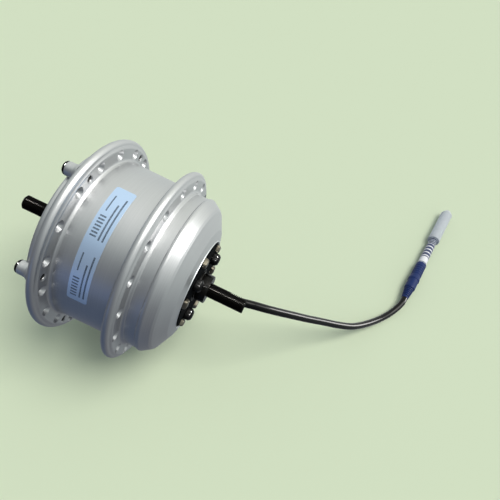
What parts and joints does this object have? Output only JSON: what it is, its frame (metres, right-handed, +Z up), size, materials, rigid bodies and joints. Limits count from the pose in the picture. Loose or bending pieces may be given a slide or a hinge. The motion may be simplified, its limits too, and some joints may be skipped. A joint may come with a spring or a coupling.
{
  "type": "front hub motor",
  "caption": "Geared electric front hub motor: silver drum with two drilled spoke flanges, black mounting disc with four screws, hollow flatted axle and a black cable with a capped plug.",
  "frame": {"origin": "on the wheel axis, half way along the axle", "axes": "+Y along the axle, from the cable end towards the end cover; +Z up as the motor stands on its two flanges; +X completes the frame"},
  "size_m": [0.3411, 0.3326, 0.1348],
  "materials": {
    "shell_metal": "satin, machined and polished",
    "cover_metal": "satin, turned",
    "cast_aluminium": "as machined",
    "black_rubber": "matte",
    "black_screw": "black oxide, glossy",
    "black_disc": "black coated, semi-gloss",
    "axle_steel": "black oxide",
    "bright_steel": "turned",
    "bearing_steel": "polished",
    "gear_steel": "ground",
    "plated_steel": "zinc plated",
    "rotor_steel": "zinc plated",
    "stator_steel": "stamped sheets",
    "key_steel": "plain",
    "magnet": "nickel plated, dark",
    "copper": "enamelled",
    "bush_bronze": "sintered",
    "insulator": "moulded",
    "nylon": "moulded",
    "board": "lacquered board",
    "black_plastic": "moulded",
    "lead_yellow": "insulated wire",
    "label_film": "plain film, semi-gloss",
    "cable_black": "glossy jacket",
    "plug_blue": "moulded, glossy",
    "sleeve_blue": "moulded, ribbed",
    "cap_clear": "soft, translucent"
  },
  "bodies": {
    "axle_unit": {"axle": "axle_steel", "cable_side_collar": "black_disc", "cover_side_spacer": "bright_steel", "cable_bearing_inner": "bearing_steel", "cable_bearing_balls": "bearing_steel", "cover_bearing_inner": "bearing_steel", "cover_bearing_balls": "bearing_steel", "rotor_bearing_inners": "bearing_steel", "rotor_bearing_balls": "bearing_steel", "stator_hub": "cast_aluminium", "stator_key": "key_steel", "stator_core": "stator_steel", "stator_insulators": "insulator", "stator_coils": "copper", "hall_board": "board", "hall_sensors": "black_plastic", "motor_leads": "lead_yellow", "clutch_hub": "bright_steel", "clutch_key": "key_steel", "clutch_rollers": "bearing_steel", "planet_carrier": "bright_steel", "planet_pins": "bearing_steel", "planet_clips": "black_disc", "cable_inner": "cable_black", "motor_cable": "cable_black", "plug_boot": "cable_black", "plug_body": "plug_blue", "plug_sleeve": "sleeve_blue", "plug_tag": "label_film", "plug_cap": "cap_clear"},
    "shell": {"hub_shell": "shell_metal", "end_cover": "cover_metal", "cover_gasket": "black_rubber", "cover_screws": "black_screw", "ring_gear": "gear_steel", "cable_bearing_outer": "bearing_steel", "cover_bearing_outer": "bearing_steel", "cable_seal": "black_rubber", "cover_seal": "black_rubber", "lug_ring": "plated_steel", "mount_disc": "black_disc", "mount_screws": "black_screw", "drum_label": "label_film"},
    "rotor": {"rotor_can": "rotor_steel", "rotor_magnets": "magnet", "rotor_bearing_outers": "bearing_steel", "sun_gear": "gear_steel"},
    "planet_a": {"planet_gear_a": "nylon", "planet_bush_a": "bush_bronze"},
    "planet_b": {"planet_gear_b": "nylon", "planet_bush_b": "bush_bronze"},
    "planet_c": {"planet_gear_c": "nylon", "planet_bush_c": "bush_bronze"}
  },
  "joints": [
    {"name": "shell_spin", "type": "hinge", "parent": "axle_unit", "child": "shell", "pos_m": [0, 0, 0], "axis": [0, 1, 0], "continuous": true},
    {"name": "rotor_spin", "type": "hinge", "parent": "axle_unit", "child": "rotor", "pos_m": [0, 0, 0], "axis": [0, 1, 0], "continuous": true},
    {"name": "planet_a_spin", "type": "hinge", "parent": "axle_unit", "child": "planet_a", "pos_m": [0.0288, 0.0215, 0], "axis": [0, 1, 0], "continuous": true},
    {"name": "planet_b_spin", "type": "hinge", "parent": "axle_unit", "child": "planet_b", "pos_m": [-0.0144, 0.0215, -0.02494], "axis": [0, 1, 0], "continuous": true},
    {"name": "planet_c_spin", "type": "hinge", "parent": "axle_unit", "child": "planet_c", "pos_m": [-0.0144, 0.0215, 0.02494], "axis": [0, 1, 0], "continuous": true}
  ],
  "couplings": [
    {"joint": "rotor_spin", "follows": "shell_spin", "ratio": -4.3333},
    {"joint": "planet_a_spin", "follows": "shell_spin", "ratio": 2.6},
    {"joint": "planet_b_spin", "follows": "shell_spin", "ratio": 2.6},
    {"joint": "planet_c_spin", "follows": "shell_spin", "ratio": 2.6}
  ]
}
